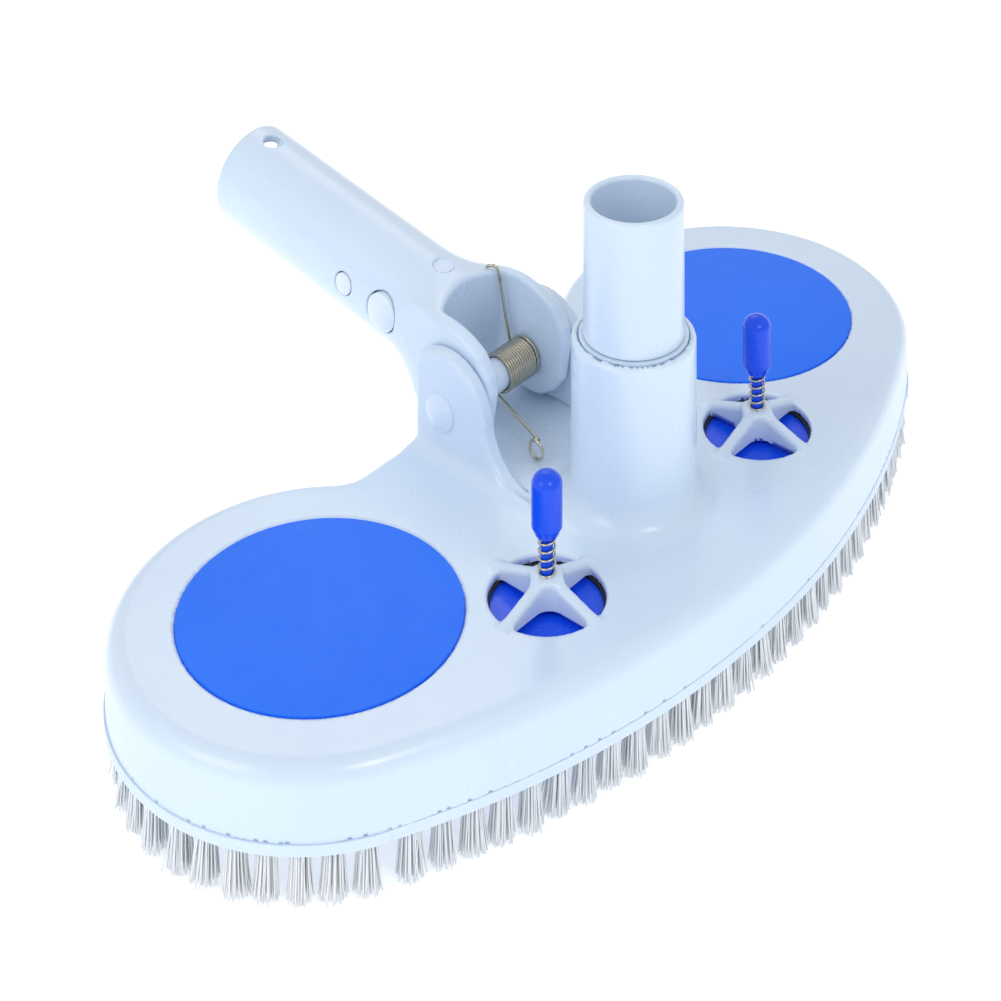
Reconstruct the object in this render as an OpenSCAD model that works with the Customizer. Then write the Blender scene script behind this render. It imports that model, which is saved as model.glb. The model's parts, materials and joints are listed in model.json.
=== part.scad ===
// Manual vacuum head for a swimming pool: a half-moon body with a brush skirt, a swivel hose tube,
// a sprung tilting pole handle, two weight pockets under round covers and two relief valves.
// +X runs along the body to its right, +Y points to the handle side and +Z points up.
// The origin is on the axis of the hose tube, where its full diameter starts, just above the socket
// that the hose cuff stops on.

/* [Body] */
// Radius of each round end of the body
lobe_r = 73.5; // [72.5:0.5:74.5]
// Distance of each round end's centre from the middle
lobe_x = 120.5; // [119:0.5:123]
// Distance of the round ends' centres behind the hose tube axis
lobe_y = 43; // [42.5:0.5:43.5]
// Distance of the front edge ahead of the hose tube axis
front_reach = 59.3; // [58.5:0.1:60]
// Distance of the straight rear edge behind the hose tube axis
rear_reach = 88; // [87:0.5:89]
// Height of the moulded shell from its lower edge to the deck
shell_h = 23.5; // [23:0.5:26]
// Wall thickness of the shell
wall = 3; // [2.8:0.1:3.2]
// Rounding of the top edge
edge_round = 7; // [6:0.5:8]

/* [Hose port] */
// Height of the socket's top above the deck
socket_h = 59.8; // [57:0.2:63]
// Outer radius of the socket
socket_r = 23.5; // [23.3:0.1:24.5]
// Outer radius of the swivel tube that the hose cuff slides over
tube_r = 19; // [18.8:0.05:19.05]
// Bore radius of the swivel tube
tube_bore_r = 16; // [15.5:0.1:16]
// Length of the swivel tube above its relief
tube_h = 49.5; // [45:0.5:55]

/* [Handle] */
// Distance of the pivot pin behind the hose tube axis
pin_y = 69; // [68:0.5:70]
// Height of the pivot pin above the deck
pin_h = 17.7; // [17.5:0.1:20]
// Radius of the pivot pin
pin_r = 4; // [3.5:0.1:4.2]
// Outer radius of the handle tube
handle_r = 19.6; // [19:0.1:20]
// Bore radius of the handle tube
handle_bore_r = 16; // [15.6:0.1:16.2]
// Length of the handle from the pivot pin to its tip
handle_l = 147; // [142:1:155]
// Height of the handle tube's axis over the pivot pin, square to the tube
handle_rise = 8.5; // [8:0.1:9]
// Angle of the handle above level when it is at rest
handle_rest = 10.3; // [8:0.1:14]

/* [Brush] */
// Length of the bristles below the brush strip
bristle_l = 18; // [15:1:24]
// Radius of one tuft
tuft_r = 3.4; // [3:0.1:3.6]
// Number of tufts along the front edge, an odd number
front_tufts = 29; // [25:2:31]
// Number of tufts round each end
lobe_tufts = 23; // [20:1:24]
// Number of tufts along the rear edge
rear_tufts = 12; // [10:1:13]

/* [Relief valves] */
// Distance of each valve from the middle
valve_x = 63.1; // [62:0.1:64]
// Distance of the valves ahead of the hose tube axis
valve_reach = 11.3; // [10:0.1:11.5]
// Radius of the valve opening in the deck
valve_r = 20.9; // [20:0.1:21]
// Radius of the valve stem
stem_r = 2.2; // [2:0.05:2.4]
// Height of the cap's top above the deck
cap_top = 43; // [40:0.2:46]

/* [Weights] */
// Radius of the round weight covers
cover_r = 50.1; // [49:0.1:50.4]
// Thickness of each ballast weight
weight_t = 10; // [6:0.5:10]

/* [Hidden] */
$fn = 96;

// Colours
white = [0.90, 0.94, 0.98];
blue = [0.20, 0.44, 0.95];
steel = [0.62, 0.62, 0.60];
rubber = [0.10, 0.10, 0.11];

// Small margins
eps = 0.01;       // overlap that joins two shapes of one piece
far = 50;         // reach of a cut that goes right through a piece
gap = 0.05;       // running clearance on a radius

// Body outline: two round ends joined by a long front arc that is tangent to both
front_depth = lobe_y + front_reach;
front_r = (pow(lobe_x, 2) + pow(front_depth, 2) - pow(lobe_r, 2)) / (2 * (front_depth - lobe_r));
front_cy = front_r - front_reach;
front_half = atan2(lobe_x, front_cy - lobe_y);
front_band = 110;                 // radial depth of the front sector
mid_x = 73;                       // half length of the block behind the front sector
strip_mid_x = 80;                 // the same for the brush strip
mid_y = 10;                       // where that block starts
inner_cut = 3;                    // slope inside the rounded top edge
seam_step = 0.4;                  // how much more some front walls are drawn in
lobe_turn = 215;                  // sweep of a round end, far enough to run into that block
lobe_start = front_half - 90;

// Heights, measured from the deck unless a name says otherwise
relief = 0.5;                     // undercut between the socket's top and the tube's full diameter
deck_z = -socket_h - relief;
strip_step = 5;                   // part of the brush strip that nests in the shell
strip_lip = 3.5;                  // part of the brush strip that shows below the shell
strip_w = 17;                     // width of the strip, in from the outline
strip_proud = 0.6;                // how far the lip stands out of the shell
tuft_inset = 5.5;
tuft_seat = 3;                    // depth of a tuft's hole
rear_screw_x = 50;
screw_inset = 12.6;
boss_r = 4;
screw_r = 1.6;
screw_head_r = 3.2;
screw_head_h = 2.2;
screw_l = 16;
tip_z = -shell_h - strip_lip - bristle_l;

// Weight pockets
cover_gap = 0.35;
cover_t = 2.5;
cover_seat = 2.2;                 // width of the ledge that the cover rests on
cup_r = cover_r + cover_gap - cover_seat;
cup_wall = 2.5;
cup_floor_z = -18;
post_r = 5;

// Swivel of the hose tube, measured from the socket's top
mouth_h = 2.5;                    // recess that the tube's collar sits in
collar_r = 20.7;
socket_round = 2;                 // rounding of the socket's rim
neck_h = 8;
journal_r = 17.5;
swivel_bore_r = 19.7;
washer_t = 1.5;
flange_r = 19.5;
flange_h = 7.4;
seal_wire = 1.2;
ring_t = 1.5;
ring_r = 20.9;
tube_end = 23;                    // how far the tube reaches below its full diameter

// Pivot and its ears
ear_in = 25.5;
ear_t = 6.5;
ear_r = 22;
ear_flare = 22;
foot_r = 5;
ear_out = ear_in + ear_t;
ear_back = rear_reach - 5.7;       // flat rear face of the ears
arm_in = 18.8;
arm_out = 25;
arm_r = 15.6;
arm_front = 17.2;
arm_top = handle_rise + handle_r;
slot_r = 30.3;
slot_y = -8;
head_r = 7;
head_h = 2.6;

// Torsion spring, centred on the pin
spring_wire = 0.62;               // radius of the wire
spring_r = 7.05;                  // radius of the coil's centre line
spring_turns = 12;
spring_pitch = 1.27;
spring_x0 = 0.4;                 // where the coil starts
leg_x = 17;                     // where the upper leg's own turn lies
bush_r = 6.1;
eye_r = 3.5;
eye_at = [-9, -29, -13.2];        // centre of the lower eye, from the pin
hook = [[15.4, 16.5, 25], [14.9, 17.3, 28.3], [14, 19.2, 29.4], [13.2, 21, 28.7]];

// Relief valves
hub_r = 5.4;
hub_top = 6.5;
rib_w = 4.6;
rib_run = 3.2;                    // how far a rib runs on over the deck
disc_r = 23.7;
disc_t = 2.4;
seal_t = 1.2;
cap_r = 5.5;
cap_bottom = 20.8;
cap_taper = 3;
valve_wire = 0.42;
valve_coil_r = 2.9;
valve_turns = 5.5;

// Pole clip in the handle, measured along the handle from the pin
tip_round = 3;                    // rounding of the handle's tip
pad_y = 46.3;
pad_r = 7.4;
lock_y = 68;
lock_r = 4.2;
tip_hole_y = 134;
tip_hole_r = 4.2;
dimple_y = 33.4;
seat_y0 = 74;                     // stretch of full diameter that a pole sleeve slides over
seat_y1 = 126;
seat_step = 0.4;                  // how much the handle is larger before that stretch and smaller after it
seat_gap = 0.6;                   // groove between the larger part and the stretch
root_y = 30;                      // where the round part starts inside the fork's root
blend_y = 46;                     // where the root has become round
tube_y = 60;
clip_in = 10.4;
clip_t = 2.6;
clip_h = 8;
clip_y0 = 40.5;
clip_y1 = 78;
bore_y = 39;                      // inner end of the handle's bore

// Profile of one edge: a block from the axis out to radius r, its top corner rounded or sloped
module edge_profile(r, h, corner, rounded) {
    difference() {
        translate([0, -h]) square([r, h]);
        if (corner > 0 && rounded)
            difference() {
                translate([r - corner, -corner]) square([corner + 1, corner + 1]);
                translate([r - corner, -corner]) circle(r = corner);
            }
        if (corner > 0 && !rounded)
            polygon([[r - corner, 0], [r - corner, 1], [r + 1, 1], [r + 1, -corner], [r, -corner]]);
    }
}

// Body-shaped block with its top at height 0, drawn in from the outline by inset.
// The round ends, the front sector and the rear block all sweep one edge. The front arc is
// tangent to the ends; front_in draws it in a little more, so that they cross instead.
module body_form(inset, h, corner = 0, rounded = false, front_in = 0, half = mid_x) {
    for (side = [0, 1]) mirror([side, 0, 0]) translate([lobe_x, lobe_y, 0])
        rotate([0, 0, lobe_start]) rotate_extrude(angle = lobe_turn, $fn = 180)
            edge_profile(lobe_r - inset, h, corner, rounded);
    translate([0, front_cy, 0]) rotate([0, 0, -90 - front_half])
        rotate_extrude(angle = 2 * front_half, $fn = 720) intersection() {
            edge_profile(front_r - inset - front_in, h, corner, rounded);
            translate([front_r - front_band, -h]) square([front_band + strip_w, h]);
        }
    translate([-half, 0, 0]) rotate([90, 0, 90]) linear_extrude(2 * half)
        translate([mid_y, 0]) edge_profile(rear_reach - inset - mid_y, h, corner, rounded);
}

// Points of the outline drawn in by inset
function lobe_rear_angle(inset) = asin((rear_reach - inset - lobe_y) / (lobe_r - inset));
function lobe_point(side, inset, a) =
    [side * (lobe_x + (lobe_r - inset) * cos(a)), lobe_y + (lobe_r - inset) * sin(a), 0];
function front_point(inset, a) =
    [(front_r - inset) * sin(a), front_cy - (front_r - inset) * cos(a), 0];
function rear_half(inset) =
    lobe_x - (lobe_r - inset) * cos(lobe_rear_angle(inset));

// A round end runs from the front arc's end, over the far side, to the rear edge
function lobe_sweep(inset) = 180 - lobe_rear_angle(inset) - lobe_start;

tuft_points = concat(
    [for (i = [0:front_tufts - 1])
        front_point(tuft_inset, front_half * ((2 * i + 1) / front_tufts - 1))],
    [for (side = [-1, 1], i = [0:lobe_tufts - 1])
        lobe_point(side, tuft_inset,
            lobe_start + (i + 0.5) / lobe_tufts * lobe_sweep(tuft_inset))],
    [for (i = [0:rear_tufts - 1])
        [rear_half(tuft_inset) * ((2 * i + 1) / rear_tufts - 1), rear_reach - tuft_inset, 0]]);

screw_points = concat(
    [for (a = [-0.62, -0.2, 0.2, 0.62]) front_point(screw_inset, front_half * a)],
    [for (side = [-1, 1], part = [0.12, 0.42, 0.72])
        lobe_point(side, screw_inset, lobe_start + part * lobe_sweep(screw_inset))],
    [for (side = [-1, 1]) [side * rear_screw_x, rear_reach - screw_inset, 0]]);

// Fills the inner corner between a wall and the deck with a concave fillet of radius r
module foot_profile(r) {
    difference() {
        translate([-1, -1]) square([r + 1, r + 1]);
        translate([r, r]) circle(r = r);
    }
}

// The same corner filled with a straight slope
module slope_profile(r) {
    polygon([[0, -1], [r, -1], [r, 0], [0, r]]);
}

// Stands its children on the deck
module on_deck() {
    translate([0, 0, deck_z]) children();
}

// Takes its children to the pivot, in the frame of the tilted handle
module at_pin() {
    translate([0, pin_y, deck_z + pin_h]) rotate([handle_rest, 0, 0]) children();
}

// Plate in the YZ plane, from x0 to x1
module plate_x(x0, x1) {
    translate([x0, 0, 0]) rotate([90, 0, 90]) linear_extrude(x1 - x0) children();
}

// Round bar along X
module bar_x(r, x0, x1) {
    translate([x0, 0, 0]) rotate([0, 90, 0]) cylinder(r = r, h = x1 - x0);
}

// Round bar along Y
module bar_y(r, y0, y1) {
    translate([0, y0, 0]) rotate([-90, 0, 0]) cylinder(r = r, h = y1 - y0);
}

// Domed button along +X: straight from x0, then a dome of the given rise that ends at x1
module dome_x(r, x0, x1, rise) {
    big = (r * r + rise * rise) / (2 * rise);
    rotate([0, 90, 0]) rotate_extrude() intersection() {
        translate([0, x0]) square([r, x1 - x0]);
        translate([0, x1 - big]) circle(r = big);
    }
}

// Side view of an ear, with the deck at height 0
module ear_profile() {
    intersection() {
        union() {
            translate([pin_y, pin_h]) circle(r = ear_r);
            translate([pin_y - ear_r, -edge_round]) square([2 * ear_r, edge_round + pin_h]);
            translate([pin_y - ear_r, 0]) mirror([1, 0]) foot_profile(ear_flare);
        }
        translate([pin_y - 3 * ear_r, -edge_round]) square([ear_back - pin_y + 3 * ear_r, 3 * ear_r]);
    }
}

// Ear on the right side, with a foot that spreads on to the deck
module ear() {
    foot_y = pin_y - ear_r + foot_r;
    plate_x(ear_in, ear_out) ear_profile();
    translate([ear_out, ear_back, 0]) rotate([90, 0, 0])
        linear_extrude(ear_back - foot_y) slope_profile(foot_r);
    translate([ear_out, foot_y, 0]) rotate([0, 0, -90]) rotate_extrude(angle = 90)
        slope_profile(foot_r);
}

// Grille over a relief valve: four ribs that rise to a hub
module valve_grille() {
    reach = valve_r + rib_run;
    cylinder(r = hub_r, h = hub_top);
    translate([0, 0, -wall]) cylinder(r = hub_r, h = wall + eps);
    for (turn = [0, 90])
        rotate([0, 0, turn]) translate([0, rib_w / 2, 0]) rotate([90, 0, 0])
            linear_extrude(rib_w)
                polygon([[-reach, -1], [-reach, 0.7], [-hub_r, hub_top - 0.6], [hub_r, hub_top - 0.6],
                    [reach, 0.7], [reach, -1], [valve_r + 1, -wall], [-valve_r - 1, -wall]]);
}

module valve_places() {
    for (side = [-1, 1]) translate([side * valve_x, -valve_reach, deck_z]) children();
}

// Moulded body: hollow deck, socket, ears, weight cups, grilles and screw bosses
module shell() {
    color(white) difference() {
        union() {
            difference() {
                on_deck() {
                    body_form(0, shell_h, edge_round, true);
                    for (side = [0, 1]) mirror([side, 0, 0]) ear();
                }
                translate([0, 0, deck_z - wall]) body_form(wall, shell_h, inner_cut, front_in = seam_step);
                valve_places() translate([0, 0, -wall - 1]) cylinder(r = valve_r, h = wall + 2);
            }
            valve_places() valve_grille();
            on_deck() {
                cylinder(r = socket_r, h = socket_h);
                rotate_extrude() translate([socket_r, 0]) foot_profile(foot_r);
                for (side = [-1, 1]) translate([side * lobe_x, lobe_y, cup_floor_z - cup_wall])
                    cylinder(r = cup_r + cup_wall, h = -cup_floor_z + cup_wall - wall + eps);
                for (p = screw_points) translate(p) translate([0, 0, strip_step - shell_h])
                    cylinder(r = boss_r, h = shell_h - strip_step - wall + eps);
            }
        }
        // weight cups, with a ledge for the covers
        for (side = [-1, 1]) translate([side * lobe_x, lobe_y, deck_z]) {
            translate([0, 0, cup_floor_z]) difference() {
                cylinder(r = cup_r, h = far);
                translate([0, 0, -1]) cylinder(r = post_r, h = weight_t + 3);
            }
            translate([0, 0, -cover_t - 0.1]) cylinder(r = cover_r + cover_gap, h = 10);
        }
        // swivel bore, neck and snap ring groove
        translate([0, 0, top_z - mouth_h]) cylinder(r = collar_r + 2 * gap, h = mouth_h + 1);
        translate([0, 0, top_z - neck_h - 1]) cylinder(r = journal_r + gap, h = neck_h + 1);
        translate([0, 0, deck_z - wall - 1])
            cylinder(r = swivel_bore_r, h = socket_h + wall + 1 - neck_h);
        translate([0, 0, ring_z - ring_t - gap]) cylinder(r = ring_r + 0.1, h = ring_t + 2 * gap);
        // rounded rim of the socket
        translate([0, 0, top_z]) rotate_extrude() translate([socket_r, 0]) rotate([0, 0, 180])
            foot_profile(socket_round);
        // pin bores, stem bores and screw holes
        translate([0, pin_y, deck_z + pin_h]) bar_x(pin_r + gap, -ear_out - 1, ear_out + 1);
        valve_places() translate([0, 0, -wall - 1]) cylinder(r = stem_r + gap, h = 2 * hub_top);
        for (p = screw_points) translate(p) translate([0, 0, deck_z + strip_step - shell_h - 1])
            cylinder(r = screw_r, h = 12);
    }
}

// Rings of the swivel, top to bottom
top_z = -relief;
washer_z = top_z - neck_h - gap;
flange_z = washer_z - washer_t - gap;
ring_z = flange_z - flange_h - gap;
seal_z = flange_z - flange_h / 2;
seal_major = swivel_bore_r - 0.02 - seal_wire;

// Tube that the hose cuff slides over; it turns in the socket
module swivel_tube() {
    rim = (tube_r - tube_bore_r) / 2;
    color(white) rotate_extrude() difference() {
        union() {
            translate([tube_bore_r, 0]) square([tube_r - tube_bore_r, tube_h - rim]);
            translate([tube_bore_r + rim, tube_h - rim]) circle(r = rim);
            translate([tube_bore_r, -tube_end]) square([journal_r - tube_bore_r, tube_end + eps]);
            translate([tube_bore_r, top_z - mouth_h + gap])
                square([collar_r - tube_bore_r, mouth_h - gap]);
            translate([tube_bore_r, flange_z - flange_h]) square([flange_r - tube_bore_r, flange_h]);
        }
        translate([seal_major - seal_wire - gap, seal_z - seal_wire - gap])
            square([10, 2 * (seal_wire + gap)]);
    }
}

module tube_seal() {
    color(rubber) translate([0, 0, seal_z]) rotate_extrude()
        translate([seal_major, 0]) circle(r = seal_wire, $fn = 32);
}

module thrust_washer() {
    color(steel) translate([0, 0, washer_z - washer_t]) difference() {
        cylinder(r = flange_r, h = washer_t);
        translate([0, 0, -1]) cylinder(r = journal_r + 0.2, h = washer_t + 2);
    }
}

module snap_ring() {
    color(steel) translate([0, 0, ring_z - ring_t]) difference() {
        cylinder(r = ring_r, h = ring_t);
        translate([0, 0, -1]) cylinder(r = journal_r + 0.3, h = ring_t + 2);
        translate([0, -ring_r - 1, -1]) cube([6, 8, ring_t + 2]);
    }
}

// Ring under the shell that holds the bristles
module brush_strip() {
    color(white) on_deck() difference() {
        union() {
            translate([0, 0, -shell_h])
                body_form(-strip_proud, strip_lip, front_in = seam_step, half = strip_mid_x);
            translate([0, 0, strip_step - shell_h])
                body_form(wall + 0.3, strip_step + eps, front_in = seam_step, half = strip_mid_x);
        }
        body_form(strip_w, shell_h + strip_lip + 1, front_in = seam_step, half = strip_mid_x);
        for (p = tuft_points) translate(p) translate([0, 0, tip_z])
            cylinder(r = tuft_r, h = bristle_l + tuft_seat);
        for (p = screw_points) translate(p) translate([0, 0, -shell_h - strip_lip - 1]) {
            cylinder(r = screw_r + 0.2, h = 20);
            cylinder(r = screw_head_r + 0.2, h = screw_head_h + 1.2);
        }
    }
}

module bristle_tufts() {
    color(white) on_deck() for (p = tuft_points) translate(p) translate([0, 0, tip_z])
        cylinder(r = tuft_r, h = bristle_l + tuft_seat, $fn = 24);
}

module strip_screws() {
    head_z = -shell_h - strip_lip + 0.1;
    color(steel) on_deck() for (p = screw_points) translate(p) translate([0, 0, head_z])
        difference() {
            union() {
                cylinder(r = screw_head_r, h = screw_head_h);
                cylinder(r = screw_r, h = screw_l);
            }
            for (turn = [0, 90]) rotate([0, 0, turn])
                translate([-1.7, -0.4, -1]) cube([3.4, 0.8, 2.2]);
        }
}

module weight_cover(side) {
    color(blue) translate([side * lobe_x, lobe_y, deck_z]) rotate_extrude() {
        translate([0, -cover_t]) square([cover_r, cover_t]);
        translate([cup_r - 2.2, -cover_t - 5]) square([2, 5 + eps]);
    }
}

module left_weight_cover() { weight_cover(-1); }
module right_weight_cover() { weight_cover(1); }

module weight(side) {
    color(steel) translate([side * lobe_x, lobe_y, deck_z + cup_floor_z]) difference() {
        cylinder(r = cup_r - 0.5, h = weight_t);
        translate([0, 0, -1]) cylinder(r = post_r + 0.3, h = weight_t + 2);
    }
}

module left_weight() { weight(-1); }
module right_weight() { weight(1); }

// Side view of a fork arm, with the pin at the origin
module arm_profile() {
    circle(r = arm_r);
    polygon([[0, -arm_r], [10, -arm_r], [10, arm_top], [-1, arm_top], [-9, arm_top - 3.5],
        [-15, arm_top - 9.5], [-arm_front, arm_top - 16], [-arm_front, -2], [-14, -8]]);
}

// Rounded cross-section of the fork where its arms meet, and of the tube
module fork_root() {
    corner = 6;
    for (x = [-1, 1], z = [-arm_r + corner, arm_top - corner])
        translate([x * (arm_out - corner), 8, z]) rotate([-90, 0, 0]) cylinder(r = corner, h = 2, $fn = 32);
}

// Handle: fork, web and the tube that takes the telescopic pole
module handle() {
    color(white) at_pin() difference() {
        union() {
            translate([0, 0, handle_rise]) {
                bar_y(handle_r + seat_step, root_y, seat_y0 - seat_gap);
                bar_y(handle_r, seat_y0, seat_y1);
                bar_y(handle_r - seat_step, tube_y, handle_l - tip_round);
                translate([0, handle_l - tip_round, 0]) rotate([-90, 0, 0]) rotate_extrude()
                    intersection() {
                        translate([handle_r - seat_step - tip_round, 0]) circle(r = tip_round);
                        square([handle_r, tip_round]);
                    }
                bar_y(handle_r - seat_step - tip_round, tube_y, handle_l);
            }
            hull() {
                fork_root();
                translate([0, 0, handle_rise]) rotate([-90, 0, 0])
                    translate([0, 0, blend_y]) cylinder(r = handle_r + seat_step, h = 1, $fn = 64);
            }
            for (side = [0, 1]) mirror([side, 0, 0]) plate_x(arm_in, arm_out) arm_profile();
        }
        // slot between the arms, ending in a concave web
        intersection() {
            translate([-arm_in, -far, -far]) cube([2 * arm_in, 2 * far, 2 * far]);
            union() {
                translate([0, slot_y, -far]) cylinder(r = slot_r, h = 2 * far);
                translate([-arm_in, -far, -far]) cube([2 * arm_in, far + slot_y, 2 * far]);
            }
        }
        bar_x(pin_r + gap, -arm_out - 1, arm_out + 1);
        translate([0, 0, handle_rise]) {
            bar_y(handle_bore_r, bore_y, handle_l + 5);
            translate([0, pad_y, 0]) bar_x(pad_r + 0.5, -handle_r - 9, handle_r + 9);
            translate([0, lock_y, 0]) bar_x(lock_r + 0.4, -handle_r - 9, handle_r + 9);
            translate([0, tip_hole_y, -far]) cylinder(r = tip_hole_r, h = 2 * far);
            translate([0, dimple_y, handle_r - 1]) cylinder(r = tip_hole_r, h = 9);
        }
    }
}

// Pin through the ears and the fork, with a domed head on the left
module pivot_pin() {
    color(white) translate([0, pin_y, deck_z + pin_h]) {
        bar_x(pin_r, -ear_out - eps, ear_out + 2);
        mirror([1, 0, 0]) dome_x(head_r, ear_out, ear_out + head_h, head_h - 0.6);
    }
}

// Push-on cap that holds the pin on the right
module pin_cap() {
    color(white) translate([0, pin_y, deck_z + pin_h]) difference() {
        dome_x(head_r, ear_out, ear_out + head_h + 0.6, head_h);
        bar_x(pin_r, ear_out - 1, ear_out + 2);
    }
}

// Sleeve on the pin that carries the torsion spring
module spring_bush() {
    color(white) translate([0, pin_y, deck_z + pin_h]) difference() {
        bar_x(bush_r, -arm_in + 0.4, arm_in - 0.4);
        bar_x(pin_r + gap, -arm_in, arm_in);
    }
}

// Round wire along a path; up is a direction that the path never follows
function unit(v) = v / norm(v);
function tangent(path, i) =
    unit(path[min(i + 1, len(path) - 1)] - path[max(i - 1, 0)]);
module wire(path, r, up, sides = 8) {
    n = len(path);
    points = [for (i = [0:n - 1])
        let (t = tangent(path, i), a = unit(cross(up, t)), b = cross(t, a))
        for (k = [0:sides - 1])
            path[i] + r * (cos(360 * k / sides) * a + sin(360 * k / sides) * b)];
    walls = [for (i = [0:n - 2], k = [0:sides - 1])
        let (next = (k + 1) % sides)
        each [[i * sides + k, (i + 1) * sides + k, (i + 1) * sides + next],
            [i * sides + k, (i + 1) * sides + next, i * sides + next]]];
    first = [for (k = [0:sides - 1]) k];
    last = [for (k = [sides - 1:-1:0]) (n - 1) * sides + k];
    polyhedron(points = points, faces = concat([first], walls, [last]));
}

// Angle on a circle of radius r at which the tangent from the point [y, z] touches it
function touch_angle(y, z, r, side) = atan2(z, y) + side * acos(r / norm([y, z]));
function coil_point(x, a) = [x, spring_r * cos(a), spring_r * sin(a)];

// Coil of the torsion spring with its lower leg and eye
module torsion_spring() {
    start = touch_angle(eye_at.y, eye_at.z, spring_r, 1);
    steps = 16 * spring_turns;
    eye_side = eye_at + [0, eye_r * 0.5, eye_r * 0.86];
    coil = [for (i = [0:steps])
        coil_point(spring_x0 + spring_pitch * i / 16, start + i * 360 / 16)];
    color(steel) translate([0, pin_y, deck_z + pin_h]) {
        wire(concat([eye_side], coil), spring_wire, [1, 0, 0]);
        translate(eye_at) rotate([0, 90, 0]) rotate_extrude($fn = 48)
            translate([eye_r, 0]) circle(r = spring_wire, $fn = 16);
    }
}

// Last turn and upper leg of the torsion spring, hooked over the handle's web
module torsion_spring_leg() {
    start = touch_angle(hook[0].y, hook[0].z, spring_r, -1);
    turn = [for (i = [0:14]) coil_point(leg_x, start - 315 + i * 22.5)];
    color(steel) at_pin() wire(concat(turn, hook), spring_wire, [1, 0, 0]);
}

// Relief valve pieces, each for the valve whose stem is on the Z axis
module valve_cap() {
    color(blue) rotate_extrude() difference() {
        union() {
            intersection() {
                translate([0, cap_top - cap_r]) circle(r = cap_r);
                square([cap_r, far]);
            }
            polygon([[0, cap_bottom], [cap_r - 1.6, cap_bottom], [cap_r, cap_bottom + cap_taper],
                [cap_r, cap_top - cap_r], [0, cap_top - cap_r]]);
        }
        translate([0, -1]) square([stem_r, cap_top - 6 + 1]);
    }
}

module valve_stem() {
    bottom = -wall - seal_t - gap - disc_t - 2;
    color(blue) {
        translate([0, 0, bottom]) cylinder(r = stem_r, h = cap_top - 6 - bottom);
        translate([0, 0, bottom]) cylinder(r = stem_r + 1.6, h = 2);
    }
}

module valve_disc() {
    color(blue) translate([0, 0, -wall - seal_t - gap - disc_t]) difference() {
        cylinder(r = disc_r, h = disc_t);
        translate([0, 0, -1]) cylinder(r = stem_r, h = disc_t + 2);
    }
}

module valve_seal() {
    color(rubber) translate([0, 0, -wall - seal_t - gap]) difference() {
        cylinder(r = disc_r, h = seal_t);
        translate([0, 0, -1]) cylinder(r = valve_r - 0.8, h = seal_t + 2);
    }
}

module valve_spring() {
    steps = 16 * valve_turns;
    low = hub_top + valve_wire + gap;
    rise = cap_bottom - hub_top - 2 * (valve_wire + gap);
    path = [for (i = [0:steps]) let (a = i * 360 / 16)
        [valve_coil_r * cos(a), valve_coil_r * sin(a), low + rise * i / steps]];
    color(steel) wire(path, valve_wire, [0, 0, 1], 6);
}

module at_valve(side) {
    translate([side * valve_x, -valve_reach, deck_z]) children();
}

module left_valve_cap() { at_valve(-1) valve_cap(); }
module right_valve_cap() { at_valve(1) valve_cap(); }
module left_valve_stem() { at_valve(-1) valve_stem(); }
module right_valve_stem() { at_valve(1) valve_stem(); }
module left_valve_disc() { at_valve(-1) valve_disc(); }
module right_valve_disc() { at_valve(1) valve_disc(); }
module left_valve_seal() { at_valve(-1) valve_seal(); }
module right_valve_seal() { at_valve(1) valve_seal(); }
module left_valve_spring() { at_valve(-1) valve_spring(); }
module right_valve_spring() { at_valve(1) valve_spring(); }

// Pole clip: a U of springy plastic in the handle's bore
module clip_bend() {
    color(white) at_pin() translate([0, clip_y1, handle_rise - clip_h / 2]) difference() {
        cylinder(r = clip_in + clip_t, h = clip_h);
        translate([0, 0, -1]) cylinder(r = clip_in, h = clip_h + 2);
        translate([-far, -2 * far, -1]) cube([2 * far, 2 * far, clip_h + 2]);
    }
}

// Leg of the clip on the right, with its thumb pad and its lock pin
module clip_arm() {
    translate([0, 0, handle_rise]) {
        translate([clip_in, clip_y0, -clip_h / 2]) cube([clip_t, clip_y1 - clip_y0 - 0.2, clip_h]);
        translate([0, pad_y, 0]) dome_x(pad_r, clip_in + 2, handle_r + 2.2, 2.4);
        translate([0, lock_y, 0]) dome_x(lock_r, clip_in + 2, handle_r + 0.9, 1.2);
    }
}

module left_clip_arm() { color(white) at_pin() mirror([1, 0, 0]) clip_arm(); }
module right_clip_arm() { color(white) at_pin() clip_arm(); }

shell();
brush_strip();
bristle_tufts();
strip_screws();
left_weight_cover();
right_weight_cover();
left_weight();
right_weight();
swivel_tube();
tube_seal();
thrust_washer();
snap_ring();
handle();
pivot_pin();
pin_cap();
spring_bush();
torsion_spring();
torsion_spring_leg();
left_valve_cap();
right_valve_cap();
left_valve_stem();
right_valve_stem();
left_valve_disc();
right_valve_disc();
left_valve_seal();
right_valve_seal();
left_valve_spring();
right_valve_spring();
clip_bend();
left_clip_arm();
right_clip_arm();
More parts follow.
